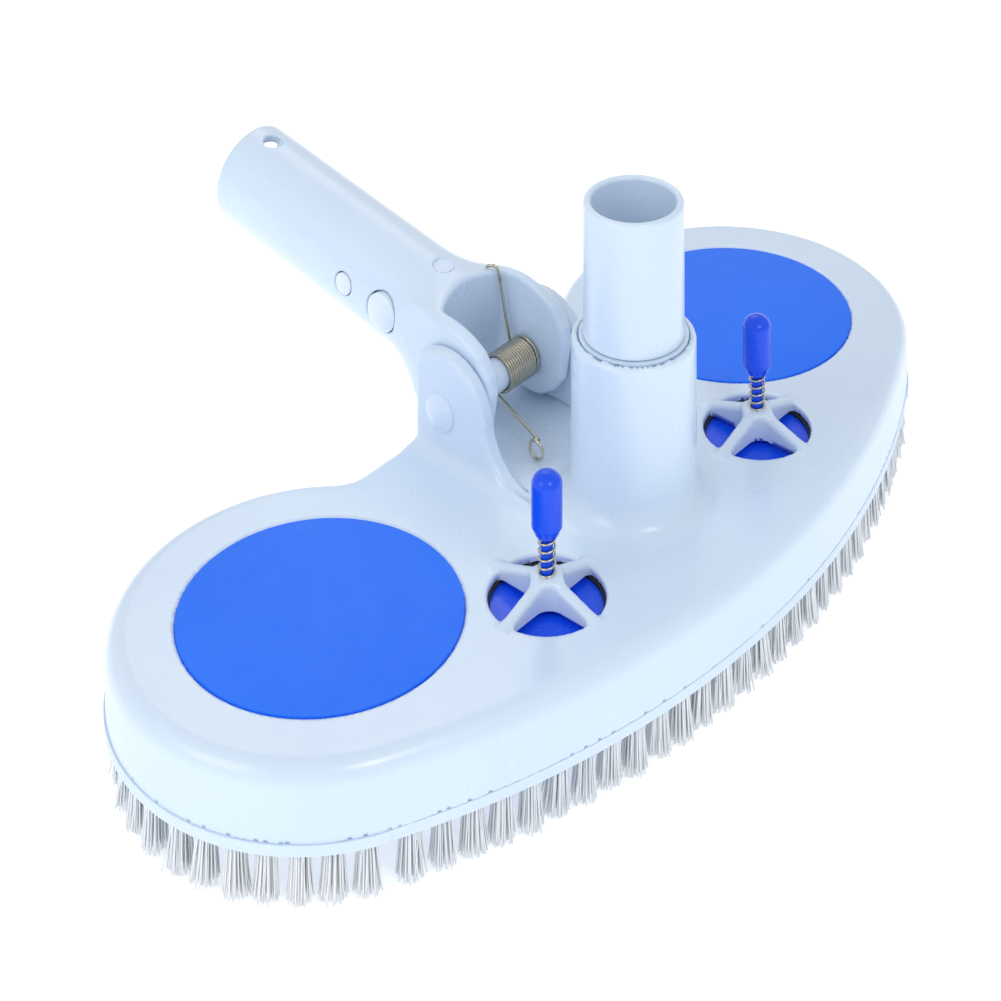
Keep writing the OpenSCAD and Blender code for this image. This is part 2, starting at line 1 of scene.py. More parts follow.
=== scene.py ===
import json
import math
import bpy
import numpy as np
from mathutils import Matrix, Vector


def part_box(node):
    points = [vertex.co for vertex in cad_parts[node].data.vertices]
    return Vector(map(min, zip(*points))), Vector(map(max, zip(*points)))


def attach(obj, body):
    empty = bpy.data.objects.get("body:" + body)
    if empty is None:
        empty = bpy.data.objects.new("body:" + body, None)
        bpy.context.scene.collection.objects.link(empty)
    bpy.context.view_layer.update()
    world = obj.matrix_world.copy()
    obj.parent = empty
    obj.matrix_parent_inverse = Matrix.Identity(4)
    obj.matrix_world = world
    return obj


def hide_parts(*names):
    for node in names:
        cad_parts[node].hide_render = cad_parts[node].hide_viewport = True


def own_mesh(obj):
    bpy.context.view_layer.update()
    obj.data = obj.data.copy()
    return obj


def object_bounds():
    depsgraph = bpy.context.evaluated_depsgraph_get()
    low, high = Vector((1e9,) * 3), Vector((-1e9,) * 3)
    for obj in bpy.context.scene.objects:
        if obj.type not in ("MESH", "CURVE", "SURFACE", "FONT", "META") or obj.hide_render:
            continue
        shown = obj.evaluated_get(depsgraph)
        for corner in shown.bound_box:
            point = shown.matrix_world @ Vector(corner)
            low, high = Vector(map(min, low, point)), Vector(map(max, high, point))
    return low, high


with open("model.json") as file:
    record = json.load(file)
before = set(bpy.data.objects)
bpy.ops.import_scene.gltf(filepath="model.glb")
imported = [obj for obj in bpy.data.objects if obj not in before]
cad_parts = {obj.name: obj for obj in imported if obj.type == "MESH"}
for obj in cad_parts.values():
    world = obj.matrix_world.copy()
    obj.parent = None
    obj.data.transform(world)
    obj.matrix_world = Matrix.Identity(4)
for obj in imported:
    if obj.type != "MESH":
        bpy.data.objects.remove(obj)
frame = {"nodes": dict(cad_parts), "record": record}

CAD_LO, CAD_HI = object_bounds()
SCENE = bpy.context.scene
NODES = frame["nodes"]
JOINTS = {j["name"]: j for j in frame["record"]["behaviour"]["joints"]}
MM = 0.001
RNG = np.random.default_rng(7)

# ---------------------------------------------------------------- camera
# A level camera with its lens shifted down keeps upright edges upright.
LENS, SENSOR = 87.36, 36.0
AZIMUTH = math.radians(49.918)
CAMERA_AT = Vector((-0.71045, -0.56557, 0.51987))
SHIFT_X, SHIFT_Y = -0.0670, -1.5590
HOME_NEAR, HOME_FAR = 0.05, 0.1      # metres from its own place: shift still whole, shift gone


def shift_driver(data, prop, value, cam, home):
    """The shift holds only while the camera stands at its own place; other views have none."""
    curve = data.driver_add(prop)
    for m in list(curve.modifiers):
        curve.modifiers.remove(m)
    curve.driver.type = "SUM"
    var = curve.driver.variables.new()
    var.type = "LOC_DIFF"
    var.targets[0].id, var.targets[1].id = cam, home
    for at, v in ((0.0, value), (HOME_NEAR, value), (HOME_FAR, 0.0), (100.0, 0.0)):
        key = curve.keyframe_points.insert(at, v)
        key.interpolation = "LINEAR"


def add_camera():
    data = bpy.data.cameras.new("camera")
    data.lens, data.sensor_width = LENS, SENSOR
    data.clip_start, data.clip_end = 0.01, 50.0
    data.shift_x, data.shift_y = SHIFT_X, SHIFT_Y
    cam = bpy.data.objects.new("camera", data)
    cam.location = CAMERA_AT
    cam.rotation_mode = "QUATERNION"
    cam.rotation_quaternion = Vector((math.sin(AZIMUTH), math.cos(AZIMUTH), 0)).to_track_quat("-Z", "Y")
    home = bpy.data.objects.new("camera_home", None)
    home.location = CAMERA_AT
    SCENE.collection.objects.link(cam)
    SCENE.collection.objects.link(home)
    shift_driver(data, "shift_x", SHIFT_X, cam, home)
    shift_driver(data, "shift_y", SHIFT_Y, cam, home)
    SCENE.camera = cam


# ---------------------------------------------------------------- light and floor
LIGHT_AIM = Vector((0, 0, -0.06))
FLOOR_HALF = 6.0


def area_light(name, position, size, power):
    data = bpy.data.lights.new(name, "AREA")
    data.shape, data.size = "DISK", size
    data.energy = power
    lamp = bpy.data.objects.new(name, data)
    lamp.location = position
    aim = LIGHT_AIM - Vector(position)
    lamp.rotation_euler = aim.to_track_quat("-Z", "Y").to_euler()
    SCENE.collection.objects.link(lamp)


def add_studio():
    area_light("key", (-0.35, -0.95, 1.15), 0.5, 3.6)
    area_light("side", (-1.3, 0.3, 0.9), 0.9, 4.2)
    area_light("rim", (0.9, 1.0, 1.2), 0.8, 2.0)
    world = bpy.data.worlds.new("studio")
    world.use_nodes = True
    world.node_tree.nodes["Background"].inputs[0].default_value = (0.96, 0.98, 1.0, 1)
    world.node_tree.nodes["Background"].inputs[1].default_value = 0.70
    SCENE.world = world
    SCENE.view_settings.view_transform = "Standard"
    mesh = bpy.data.meshes.new("floor")
    z, h = CAD_LO.z - 0.0005, FLOOR_HALF
    mesh.from_pydata([(-h, -h, z), (h, -h, z), (h, h, z), (-h, h, z)], [], [(0, 1, 2, 3)])
    floor = bpy.data.objects.new("floor", mesh)
    mat = bpy.data.materials.new("floor")
    mat.use_nodes = True
    bsdf = mat.node_tree.nodes["Principled BSDF"]
    bsdf.inputs["Base Color"].default_value = (0.9, 0.93, 0.96, 1)
    bsdf.inputs["Roughness"].default_value = 0.9
    bsdf.inputs["Emission Color"].default_value = (1, 1, 1, 1)
    bsdf.inputs["Emission Strength"].default_value = 0.45
    mesh.materials.append(mat)
    SCENE.collection.objects.link(floor)


# ---------------------------------------------------------------- materials
def node(tree, kind, **values):
    n = tree.nodes.new(kind)
    for k, v in values.items():
        if k in n.inputs:
            n.inputs[k].default_value = v
        else:
            setattr(n, k, v)
    return n


def material(name, low, high, rough, spread, grain, bump, metal=0.0, coat=0.0, stretch=(1, 1, 1), spec=0.5):
    """Procedural finish: two colours mixed by slow noise, roughness by a second noise, fine bump."""
    mat = bpy.data.materials.new(name)
    mat.use_nodes = True
    t = mat.node_tree
    bsdf = t.nodes["Principled BSDF"]
    link = t.links.new
    coord = node(t, "ShaderNodeTexCoord")
    place = node(t, "ShaderNodeMapping")
    place.inputs["Scale"].default_value = stretch
    link(coord.outputs["Object"], place.inputs["Vector"])
    slow = node(t, "ShaderNodeTexNoise", Scale=14.0, Detail=3.0, Roughness=0.5)
    fine = node(t, "ShaderNodeTexNoise", Scale=grain, Detail=4.0, Roughness=0.6)
    wear = node(t, "ShaderNodeTexNoise", Scale=90.0, Detail=5.0, Roughness=0.7)
    for n in (slow, fine, wear):
        link(place.outputs["Vector"], n.inputs["Vector"])
    tint = node(t, "ShaderNodeMapRange")
    tint.inputs["From Min"].default_value, tint.inputs["From Max"].default_value = 0.35, 0.65
    link(slow.outputs["Fac"], tint.inputs["Value"])
    mix = node(t, "ShaderNodeMix", data_type="RGBA")
    mix.inputs[6].default_value, mix.inputs[7].default_value = (*low, 1), (*high, 1)
    link(tint.outputs["Result"], mix.inputs[0])
    link(mix.outputs[2], bsdf.inputs["Base Color"])
    gloss = node(t, "ShaderNodeMapRange")
    gloss.inputs["From Min"].default_value, gloss.inputs["From Max"].default_value = 0.3, 0.7
    gloss.inputs["To Min"].default_value, gloss.inputs["To Max"].default_value = rough - spread, rough + spread
    link(wear.outputs["Fac"], gloss.inputs["Value"])
    link(gloss.outputs["Result"], bsdf.inputs["Roughness"])
    dent = node(t, "ShaderNodeBump", Strength=bump, Distance=0.0003)
    link(fine.outputs["Fac"], dent.inputs["Height"])
    link(dent.outputs["Normal"], bsdf.inputs["Normal"])
    bsdf.inputs["Metallic"].default_value = metal
    bsdf.inputs["Coat Weight"].default_value = coat
    bsdf.inputs["Coat Roughness"].default_value = 0.12
    bsdf.inputs["Specular IOR Level"].default_value = spec
    return mat


MATERIALS = {
    "body_white": material("body_white", (0.655, 0.775, 0.93), (0.68, 0.80, 0.945), 0.30, 0.05, 900, 0.05, coat=0.25),
    "strip_white": material("strip_white", (0.655, 0.77, 0.92), (0.69, 0.80, 0.935), 0.38, 0.05, 900, 0.06),
    "nylon": material("nylon", (0.90, 0.94, 0.98), (0.97, 0.985, 1.0), 0.40, 0.06, 1500, 0.02, stretch=(1, 1, 0.1)),
    "cover_blue": material("cover_blue", (0.006, 0.160, 0.97), (0.010, 0.178, 1.0), 0.42, 0.05, 1400, 0.06, spec=0.3),
    "valve_blue": material("valve_blue", (0.003, 0.068, 0.80), (0.006, 0.085, 0.88), 0.26, 0.05, 1200, 0.05,
                           coat=0.15, spec=0.3),
    "pin_white": material("pin_white", (0.68, 0.80, 0.945), (0.71, 0.82, 0.955), 0.28, 0.05, 900, 0.05, coat=0.3),
    "clip_white": material("clip_white", (0.76, 0.85, 0.96), (0.79, 0.87, 0.97), 0.35, 0.05, 900, 0.05),
    "acetal": material("acetal", (0.62, 0.62, 0.60), (0.68, 0.68, 0.66), 0.4, 0.05, 700, 0.05),
    "steel": material("steel", (0.50, 0.50, 0.50), (0.58, 0.58, 0.57), 0.30, 0.08, 600, 0.1,
                      metal=1.0, stretch=(1, 1, 6)),
    "spring_steel": material("spring_steel", (0.52, 0.48, 0.38), (0.64, 0.60, 0.48), 0.26, 0.06, 700, 0.08,
                             metal=1.0),
    "iron": material("iron", (0.045, 0.045, 0.05), (0.07, 0.07, 0.075), 0.6, 0.1, 500, 0.4, metal=0.4),
    "rubber": material("rubber", (0.018, 0.018, 0.02), (0.03, 0.03, 0.032), 0.75, 0.08, 900, 0.3),
}
SLOT_OF = {row["node"]: row["material_slot"] for row in frame["record"]["subparts"]}
for name, slot_name in SLOT_OF.items():
    NODES[name].data.materials.clear()
    NODES[name].data.materials.append(MATERIALS[slot_name])


# ---------------------------------------------------------------- mesh helpers, in millimetres
def add_mesh(name, points, faces, slot_name, body, stands_for):
    mesh = bpy.data.meshes.new(name)
    mesh.from_pydata((np.asarray(points) * MM).tolist(), [], faces)
    mesh.validate()
    mesh.polygons.foreach_set("use_smooth", [True] * len(mesh.polygons))
    mesh.materials.append(MATERIALS[slot_name])
    obj = bpy.data.objects.new(name, mesh)
    SCENE.collection.objects.link(obj)
    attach(obj, body)
    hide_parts(*stands_for)
    return obj


def sweep(path, radius, sides=12, up=(0, 0, 1)):
    """Round wire along a path, closed by domed ends."""
    path = np.asarray(path, float)
    tangent = np.gradient(path, axis=0)
    tangent /= np.linalg.norm(tangent, axis=1)[:, None]
    side = np.cross(np.asarray(up, float), tangent[0])
    side /= np.linalg.norm(side)
    rings, n = [], len(path)
    turn = np.arange(sides) * 2 * math.pi / sides
    dome = [(-0.9, 0.35), (-0.6, 0.8)]
    for i in range(n):
        side = side - tangent[i] * (side @ tangent[i])
        side /= np.linalg.norm(side)
        other = np.cross(tangent[i], side)
        circle = np.cos(turn)[:, None] * side + np.sin(turn)[:, None] * other
        if i == 0:
            rings += [path[0] + radius * (a * tangent[0] + b * circle) for a, b in dome]
        rings.append(path[i] + radius * circle)
        if i == n - 1:
            rings += [path[-1] + radius * (-a * tangent[-1] + b * circle) for a, b in reversed(dome)]
    points = np.concatenate(rings)
    m = len(rings)
    faces = [(i * sides + k, i * sides + (k + 1) % sides, (i + 1) * sides + (k + 1) % sides, (i + 1) * sides + k)
             for i in range(m - 1) for k in range(sides)]
    faces.append(tuple(range(sides - 1, -1, -1)))
    faces.append(tuple((m - 1) * sides + k for k in range(sides)))
    return points, faces


def smooth_path(points, rounds=3):
    """Corner cutting that keeps the ends."""
    p = np.asarray(points, float)
    for _ in range(rounds):
        q = np.empty((2 * len(p) - 2, 3))
        q[0::2] = p[:-1] * 0.75 + p[1:] * 0.25
        q[1::2] = p[:-1] * 0.25 + p[1:] * 0.75
        p = np.concatenate([p[:1], q, p[-1:]])
    return p


def round_corners(profile, radius, steps=3):
    """Rounds the convex and concave corners of a closed (r, z) profile; corners on the axis stay."""
    out, n = [], len(profile)
    for i in range(n):
        a, b, c = (np.array(profile[j % n], float) for j in (i - 1, i, i + 1))
        if b[0] < 1e-6:
            out.append(b)
            continue
        u, v = a - b, c - b
        lu, lv = np.linalg.norm(u), np.linalg.norm(v)
        r = min(radius, 0.45 * lu, 0.45 * lv)
        p, q = b + u / lu * r, b + v / lv * r
        for s in range(steps + 1):
            t = s / steps
            out.append((1 - t) ** 2 * p + 2 * t * (1 - t) * b + t * t * q)
    return out


def revolve(profile, centre, sides=96):
    """Turns a closed (r, z) profile round the upright axis through centre."""
    ring = np.arange(sides) * 2 * math.pi / sides
    points, index = [], []
    for r, z in profile:
        if r < 1e-6:
            index.append([len(points)] * sides)
            points.append((0, 0, z))
        else:
            index.append(list(range(len(points), len(points) + sides)))
            points += [(r * math.cos(a), r * math.sin(a), z) for a in ring]
    faces, n = [], len(profile)
    for i in range(n):
        lower, upper = index[i], index[(i + 1) % n]
        for k in range(sides):
            quad = [lower[k], lower[(k + 1) % sides], upper[(k + 1) % sides], upper[k]]
            face = [v for j, v in enumerate(quad) if v != quad[j - 1]]
            if len(set(face)) >= 3:
                faces.append(tuple(face))
    return np.array(points) + np.asarray(centre, float), faces


def node_points(name):
    co = np.array([v.co for v in NODES[name].data.vertices]) / MM
    world = np.array(NODES[name].matrix_world)
    return co @ world[:3, :3].T + world[:3, 3] / MM


def clusters(points, reach):
    """Centres of the separate groups among points."""
    centres = []
    while len(points):
        near = np.linalg.norm(points - points[0], axis=1) < reach
        centres.append((points[near].min(0) + points[near].max(0)) / 2)
        points = points[~near]
    return np.array(centres)


# ---------------------------------------------------------------- bristles
FILAMENTS = 62          # in one tuft
FILAMENT_R = 0.50
TUFT_ROOT_R = 3.1
TUFT_FLARE = 1.42
GOLDEN_ANGLE = 2.39996
TRIANGLE = np.array([[math.cos(a), math.sin(a)] for a in (0.3, 2.39, 4.49)])


def tuft_centres():
    """Centre of every tuft with the heights of its tip and root, from the frame's own rods."""
    co = node_points("bristle_tufts")
    low, high = co[:, 2].min(), co[:, 2].max()
    return clusters(co[co[:, 2] < low + 0.5][:, :2], 7.5), low, high


def add_bristles():
    centres, low, high = tuft_centres()
    steps = np.array([0.0, 0.3, 0.6, 0.85, 1.0])
    points, faces = [], []
    for centre in centres:
        lean = RNG.normal(0, 0.35, 2)
        for k in range(FILAMENTS):
            r = TUFT_ROOT_R * math.sqrt((k + 0.5) / FILAMENTS)
            a = k * GOLDEN_ANGLE + RNG.uniform(-0.2, 0.2)
            out = np.array([math.cos(a), math.sin(a)])
            root = out * r
            stray = RNG.normal(0, 0.28, 2) + (RNG.random() < 0.06) * RNG.normal(0, 1.1, 2)
            tip = root * TUFT_FLARE + out * 0.3 * r / TUFT_ROOT_R + lean + stray
            bend = RNG.normal(0, 0.25, 2)
            length = (high - low) * (1 - abs(RNG.normal(0, 0.02)) - 0.03 * RNG.random())
            base = len(points)
            for s in steps:
                xy = centre + root + (tip - root) * s ** 1.6 + bend * s * (1 - s)
                z = high - length * s
                thick = FILAMENT_R * (1.0 - 0.25 * s)
                points += [(xy[0] + thick * c[0], xy[1] + thick * c[1], z) for c in TRIANGLE]
            rows = len(steps)
            for i in range(rows - 1):
                for j in range(3):
                    q = (j + 1) % 3
                    faces.append((base + 3 * i + j, base + 3 * (i + 1) + j, base + 3 * (i + 1) + q, base + 3 * i + q))
            faces.append((base, base + 1, base + 2))
            faces.append((base + 3 * rows - 1, base + 3 * rows - 2, base + 3 * rows - 3))
    add_mesh("bristles", points, faces, "nylon", "head", ["bristle_tufts"])


# ---------------------------------------------------------------- springs
VALVE_WIRE, VALVE_COIL_R, VALVE_TURNS = 0.42, 2.9, 5.5


def add_valve_spring(side):
    name = side + "_valve_spring"
    lo, hi = (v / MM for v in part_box(name))
    cx, cy = (lo.x + hi.x) / 2, (lo.y + hi.y) / 2
    low, high = lo.z + VALVE_WIRE, hi.z - VALVE_WIRE
    s = np.linspace(0, 1, 220)
    a = s * VALVE_TURNS * 2 * math.pi
    rise = np.interp(s, [0, 0.13, 0.87, 1], [0, 0.06, 0.94, 1])
    path = np.stack([cx + VALVE_COIL_R * np.cos(a), cy + VALVE_COIL_R * np.sin(a), low + (high - low) * rise], 1)
    points, faces = sweep(path, VALVE_WIRE)
    obj = add_mesh(name + "_wire", points, faces, "spring_steel", "head", [name])
    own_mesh(obj)


PIN = Vector(JOINTS["handle_tilt"]["pos_m"]) / MM
REST = math.radians(10.3)       # the handle's tilt in the frame
HANDLE_ROT = np.array([[1, 0, 0], [0, math.cos(REST), -math.sin(REST)], [0, math.sin(REST), math.cos(REST)]])
SPRING_WIRE, SPRING_R, SPRING_TURNS, SPRING_PITCH, SPRING_X0 = 0.62, 7.05, 12, 1.27, 0.4
EYE_AT, EYE_R, EYE_TURNS = np.array([-9.0, -29.0, -13.2]), 3.5, 1.12
EYE_SHIFT, EYE_RISE = 0.35, 1.3 / 7         # the eye's start beside its centre, and its rise for each radian
LEG_X, LAST_TURN = 17.0, 315
HOOK = [(15.4, 16.5, 25.0), (14.9, 17.3, 28.3), (14.0, 19.2, 29.4), (13.2, 21.0, 28.7), (12.9, 21.8, 27.7)]


def touch_angle(y, z, r, side):
    """Angle at which a straight wire from (y, z) touches a circle of radius r round the origin."""
    return math.atan2(z, y) + side * math.acos(r / math.hypot(y, z))


def add_torsion_spring():
    """The coil with its lower leg stays with the body; the last turn with the upper leg goes with the handle."""
    start = touch_angle(EYE_AT[1], EYE_AT[2], SPRING_R, 1)
    turns = np.linspace(0, SPRING_TURNS, SPRING_TURNS * 30)
    a = start + turns * 2 * math.pi
    coil = np.stack([SPRING_X0 + SPRING_PITCH * turns, SPRING_R * np.cos(a), SPRING_R * np.sin(a)], 1)
    leg = coil[0] - EYE_AT
    b = np.linspace(0, EYE_TURNS, 34) * 2 * math.pi
    first = math.atan2(leg[2], leg[1]) + math.pi / 2
    eye = np.stack([EYE_AT[0] + EYE_SHIFT - EYE_RISE * b, EYE_AT[1] + EYE_R * np.cos(first - b),
                    EYE_AT[2] + EYE_R * np.sin(first - b)], 1)
    run = np.linspace(0, 1, 14)[1:-1, None]
    straight = eye[0] + (coil[0] - eye[0]) * run
    path = np.concatenate([eye[::-1], straight, coil]) + np.array(PIN)
    points, faces = sweep(path, SPRING_WIRE, up=(1, 0, 0))
    add_mesh("torsion_spring_wire", points, faces, "spring_steel", "head", ["torsion_spring"])
    hook = smooth_path(HOOK)
    a = touch_angle(HOOK[0][1], HOOK[0][2], SPRING_R, -1) + np.radians(np.linspace(-LAST_TURN, 0, 30))
    turn = np.stack([np.full(len(a), LEG_X), SPRING_R * np.cos(a), SPRING_R * np.sin(a)], 1)
    straight = turn[-1] + (hook[0] - turn[-1]) * run
    path = np.concatenate([turn, straight, hook]) @ HANDLE_ROT.T + np.array(PIN)
    points, faces = sweep(path, SPRING_WIRE, up=(1, 0, 0))
    add_mesh("torsion_spring_hook", points, faces, "spring_steel", "handle", ["torsion_spring_leg"])


# ---------------------------------------------------------------- turned pieces
STEM_FOOT = 1.6             # how much the stem's foot is larger in radius than the stem


def turned(name, profile, sides, slot_name, body):
    """A turned piece in place of a node, its profile measured from the axis and the foot of the node's box."""
    lo, hi = (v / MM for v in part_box(name))
    points, faces = revolve(profile, ((lo.x + hi.x) / 2, (lo.y + hi.y) / 2, lo.z), sides)
    add_mesh(name + "_moulded", points, faces, slot_name, body, [name])


def half_width_and_height(name):
    lo, hi = (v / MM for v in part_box(name))
    return (hi.x - lo.x) / 2, hi.z - lo.z


def add_cap(side):
    """Bullet with a domed top, a small foot and a blind hole for the stem."""
    r, h = half_width_and_height(side + "_valve_cap")
    bore = half_width_and_height(side + "_valve_stem")[0] - STEM_FOOT
    dome = 0.8 * r
    head = [(r * math.sin(a), h - dome + dome * math.cos(a)) for a in np.linspace(0.0, math.pi / 2, 12)]
    foot = round_corners([(r, h - r), (r, 3.2), (r - 0.35, 2.6), (r - 1.5, 0), (bore, 0)], 0.5)[4:-4]
    turned(side + "_valve_cap", head + foot + [(bore, 0.0), (bore, h - 6), (0.0, h - 6)], 64,
           "valve_blue", side + "_valve")


def add_cover(side):
    """Lid with a rim that drops into the weight's pocket."""
    r, h = half_width_and_height(side + "_weight_cover")
    rim_out, rim_in, lid = r - 2.4, r - 4.4, h - 2.5
    profile = [(0, h), (r, h), (r, lid), (rim_out, lid), (rim_out, 0), (rim_in, 0), (rim_in, lid), (0, lid)]
    turned(side + "_weight_cover", round_corners(profile, 0.35), 160, "cover_blue", "head")


# ---------------------------------------------------------------- shapes from distance fields
def soft_max(a, b, k):
    """The larger of two fields, with a blend of width k where they are close."""
    h = np.maximum(k - np.abs(a - b), 0) / k
    return np.maximum(a, b) + h * h * k / 4


def soft_min(a, b, k):
    return -soft_max(-a, -b, k)


def round_edge(a, b, r):
    """Where two surfaces meet at a right angle, an arc of radius r joins them."""
    qa, qb = a + r, b + r
    return np.hypot(np.maximum(qa, 0), np.maximum(qb, 0)) + np.minimum(np.maximum(qa, qb), 0) - r


def polygon_distance(x, y, corners):
    """Signed distance to a polygon, negative inside."""
    best, inside = np.full(x.shape, np.inf, np.float32), np.zeros(x.shape, bool)
    for i, (bx, by) in enumerate(corners):
        ax, ay = corners[i - 1]
        ex, ey = bx - ax, by - ay
        t = np.clip(((x - ax) * ex + (y - ay) * ey) / (ex * ex + ey * ey), 0, 1)
        best = np.minimum(best, np.hypot(x - ax - t * ex, y - ay - t * ey))
        if ey:
            inside ^= ((ay > y) != (by > y)) & (x < ax + (y - ay) * ex / ey)
    return np.where(inside, -best, best)


def surface(field, low, high, step):
    """Points, quads and unit normals of the zero surface of a field: one point in each grid cell that it crosses."""
    axes = [np.arange(a, b + step, step, dtype=np.float32) for a, b in zip(low, high)]
    vol = np.empty([len(a) for a in axes], np.float32)
    for i in range(0, len(axes[0]), 24):
        vol[i:i + 24] = field(*np.meshgrid(axes[0][i:i + 24], axes[1], axes[2], indexing="ij"))
    inside = vol < 0
    nx, ny, nz = vol.shape
    count = sum(inside[a:nx - 1 + a, b:ny - 1 + b, c:nz - 1 + c].astype(np.int8)
                for a in (0, 1) for b in (0, 1) for c in (0, 1))
    mixed = (count > 0) & (count < 8)
    index = np.full(mixed.shape, -1, np.int64)
    cells = np.stack(np.nonzero(mixed), 1)
    index[mixed] = np.arange(len(cells))
    total, hits = np.zeros((len(cells), 3)), np.zeros(len(cells))
    quads = []
    for axis in range(3):
        one = np.eye(3, dtype=int)[axis]
        u, v = np.eye(3, dtype=int)[(axis + 1) % 3], np.eye(3, dtype=int)[(axis + 2) % 3]
        for off in (0 * u, u, v, u + v):
            a, b = cells + off, cells + off + one
            va, vb = vol[tuple(a.T)], vol[tuple(b.T)]
            cut = (va < 0) != (vb < 0)
            t = np.where(cut, va / np.where(cut, va - vb, 1), 0)
            total += np.where(cut[:, None], off + one * t[:, None], 0)
            hits += cut
        a = inside[tuple(slice(0, n - 1) if i == axis else slice(1, n - 1) for i, n in enumerate(vol.shape))]
        b = inside[tuple(slice(1, n) if i == axis else slice(1, n - 1) for i, n in enumerate(vol.shape))]
        for first, flip in ((a & ~b, False), (b & ~a, True)):
            at = np.stack(np.nonzero(first), 1) + 1 - one
            four = [index[tuple((at - o).T)] for o in (0 * u, u, u + v, v)]
            quads.append(np.stack(four[::-1] if flip else four, 1))
    points = np.array([a[0] for a in axes]) + (cells + total / hits[:, None]) * step
    for _ in range(3):
        normal, value = gradient(field, points)
        points -= normal * np.clip(value, -0.5 * step, 0.5 * step)[:, None]
    return points, np.concatenate(quads), gradient(field, points)[0]


def gradient(field, p, h=0.05):
    """Direction away from the surface, and the distance to it, at points p."""
    value = field(*p.T)
    g = np.stack([field(*(p + h * e).T) - field(*(p - h * e).T) for e in np.eye(3)], 1) / (2 * h)
    length = np.maximum(np.linalg.norm(g, axis=1), 0.2)
    return g / length[:, None], value / length


def add_form(name, field, low, high, step, slot_name, body, stands_for, place=None):
    points, quads, normals = surface(field, low, high, step)
    if place is not None:
        rot, shift = place
        points, normals = points @ rot.T + shift, normals @ rot.T
    obj = add_mesh(name, points, quads.tolist(), slot_name, body, stands_for)
    obj.data.normals_split_custom_set_from_vertices(normals.tolist())
    return obj


# ---------------------------------------------------------------- handle, in its own tilted frame
HANDLE_R, HANDLE_RISE, HANDLE_L, BORE_R, BORE_Y = 19.6, 8.5, 147.0, 16.0, 39.0
ARM_R, ARM_IN, ARM_OUT, ARM_FRONT = 15.6, 18.8, 25.0, 17.2
PIN_BORE = 4.05
SLOT_R, SLOT_Y = 30.3, -8.0
FORK_EDGE, TIP_EDGE = 5.0, 4.0
SIDE_HOLES = ((46.3, 7.9), (68.0, 4.6))     # thumb pad and lock pin: place along the handle, radius
TIP_HOLE_Y, TIP_HOLE_R = 134.0, 4.2
DIMPLE_Y, DIMPLE_DEPTH = 33.4, 0.8
MID_Y, SIDE_END = 80.0, 100.0               # the tip's rounding starts past one, the side holes end before the other
FAR = 9.0                                   # stands for "outside" where a cut doesn't apply
HANDLE_LOW, HANDLE_HIGH, HANDLE_STEP = (-26.5, -19, -17.5), (26.5, 149, 30), 0.8
ARM_TOP = HANDLE_RISE + HANDLE_R
ARM_SIDE = [(0, -ARM_R), (200, -ARM_R - 2), (200, ARM_TOP + 3), (6, ARM_TOP + 3), (-1, ARM_TOP), (-9, ARM_TOP - 3.5),
            (-15, ARM_TOP - 9.5), (-ARM_FRONT, ARM_TOP - 16), (-ARM_FRONT, -2), (-14, -8)]
ROOT_END, TUBE_START = 8.0, 46.0


def handle_field(x, y, z):
    """Fork round the pin, flowing into a tube; the slot, the bore and the holes are cut from it."""
    up = z - HANDLE_RISE
    mid, half = (ARM_TOP - ARM_R) / 2, (ARM_TOP + ARM_R) / 2
    t = np.clip((y - ROOT_END) / (TUBE_START - ROOT_END), 0, 1)
    t = t * t * (3 - 2 * t)
    tube = np.hypot(x, up) - HANDLE_R
    fork = round_edge(np.abs(x) - ARM_OUT, np.abs(z - mid) - half, FORK_EDGE)
    form = (1 - t) * fork + t * tube
    side = soft_min(polygon_distance(y, z, ARM_SIDE), np.hypot(y, z) - ARM_R, 2.0)
    form = soft_max(form, side, 3.0)
    form = np.where(y > MID_Y, round_edge(y - HANDLE_L, form, TIP_EDGE), form)
    slot_end = np.where(y < SLOT_Y, np.abs(x), np.hypot(x, y - SLOT_Y)) - SLOT_R
    form = soft_max(form, -soft_max(np.abs(x) - ARM_IN, slot_end, 3.0), 2.4)
    form = soft_max(form, PIN_BORE - np.hypot(y, z), 0.6)
    form = soft_max(form, -np.maximum(np.hypot(x, up) - BORE_R, BORE_Y - y), 1.2)
    for at, r in SIDE_HOLES:
        form = soft_max(form, np.where(y < SIDE_END, r - np.hypot(y - at, up), -FAR), 0.9)
    form = soft_max(form, TIP_HOLE_R - np.hypot(x, y - TIP_HOLE_Y), 0.8)
    dimple = np.maximum(np.hypot(x, y - DIMPLE_Y) - TIP_HOLE_R, ARM_TOP - DIMPLE_DEPTH - z)
    return soft_max(form, -dimple, 0.7)


def add_handle():
    add_form("handle_moulded", handle_field, HANDLE_LOW, HANDLE_HIGH, HANDLE_STEP, "body_white", "handle",
             ["handle"], (HANDLE_ROT, np.array(PIN)))


# ---------------------------------------------------------------- moulded body; z is the height above its deck
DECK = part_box("left_weight_cover")[1].z / MM
LOBE_R, LOBE_X, LOBE_Y, FRONT, REAR = 73.5, 120.5, 43.0, 59.3, 88.0
SHELL_H, WALL, EDGE = 23.5, 3.0, 7.0
SHELL_SINK = 0.5            # how far the wall's edge reaches into the strip below
SHELL_STEP, MARGIN = 1.4, 1.5
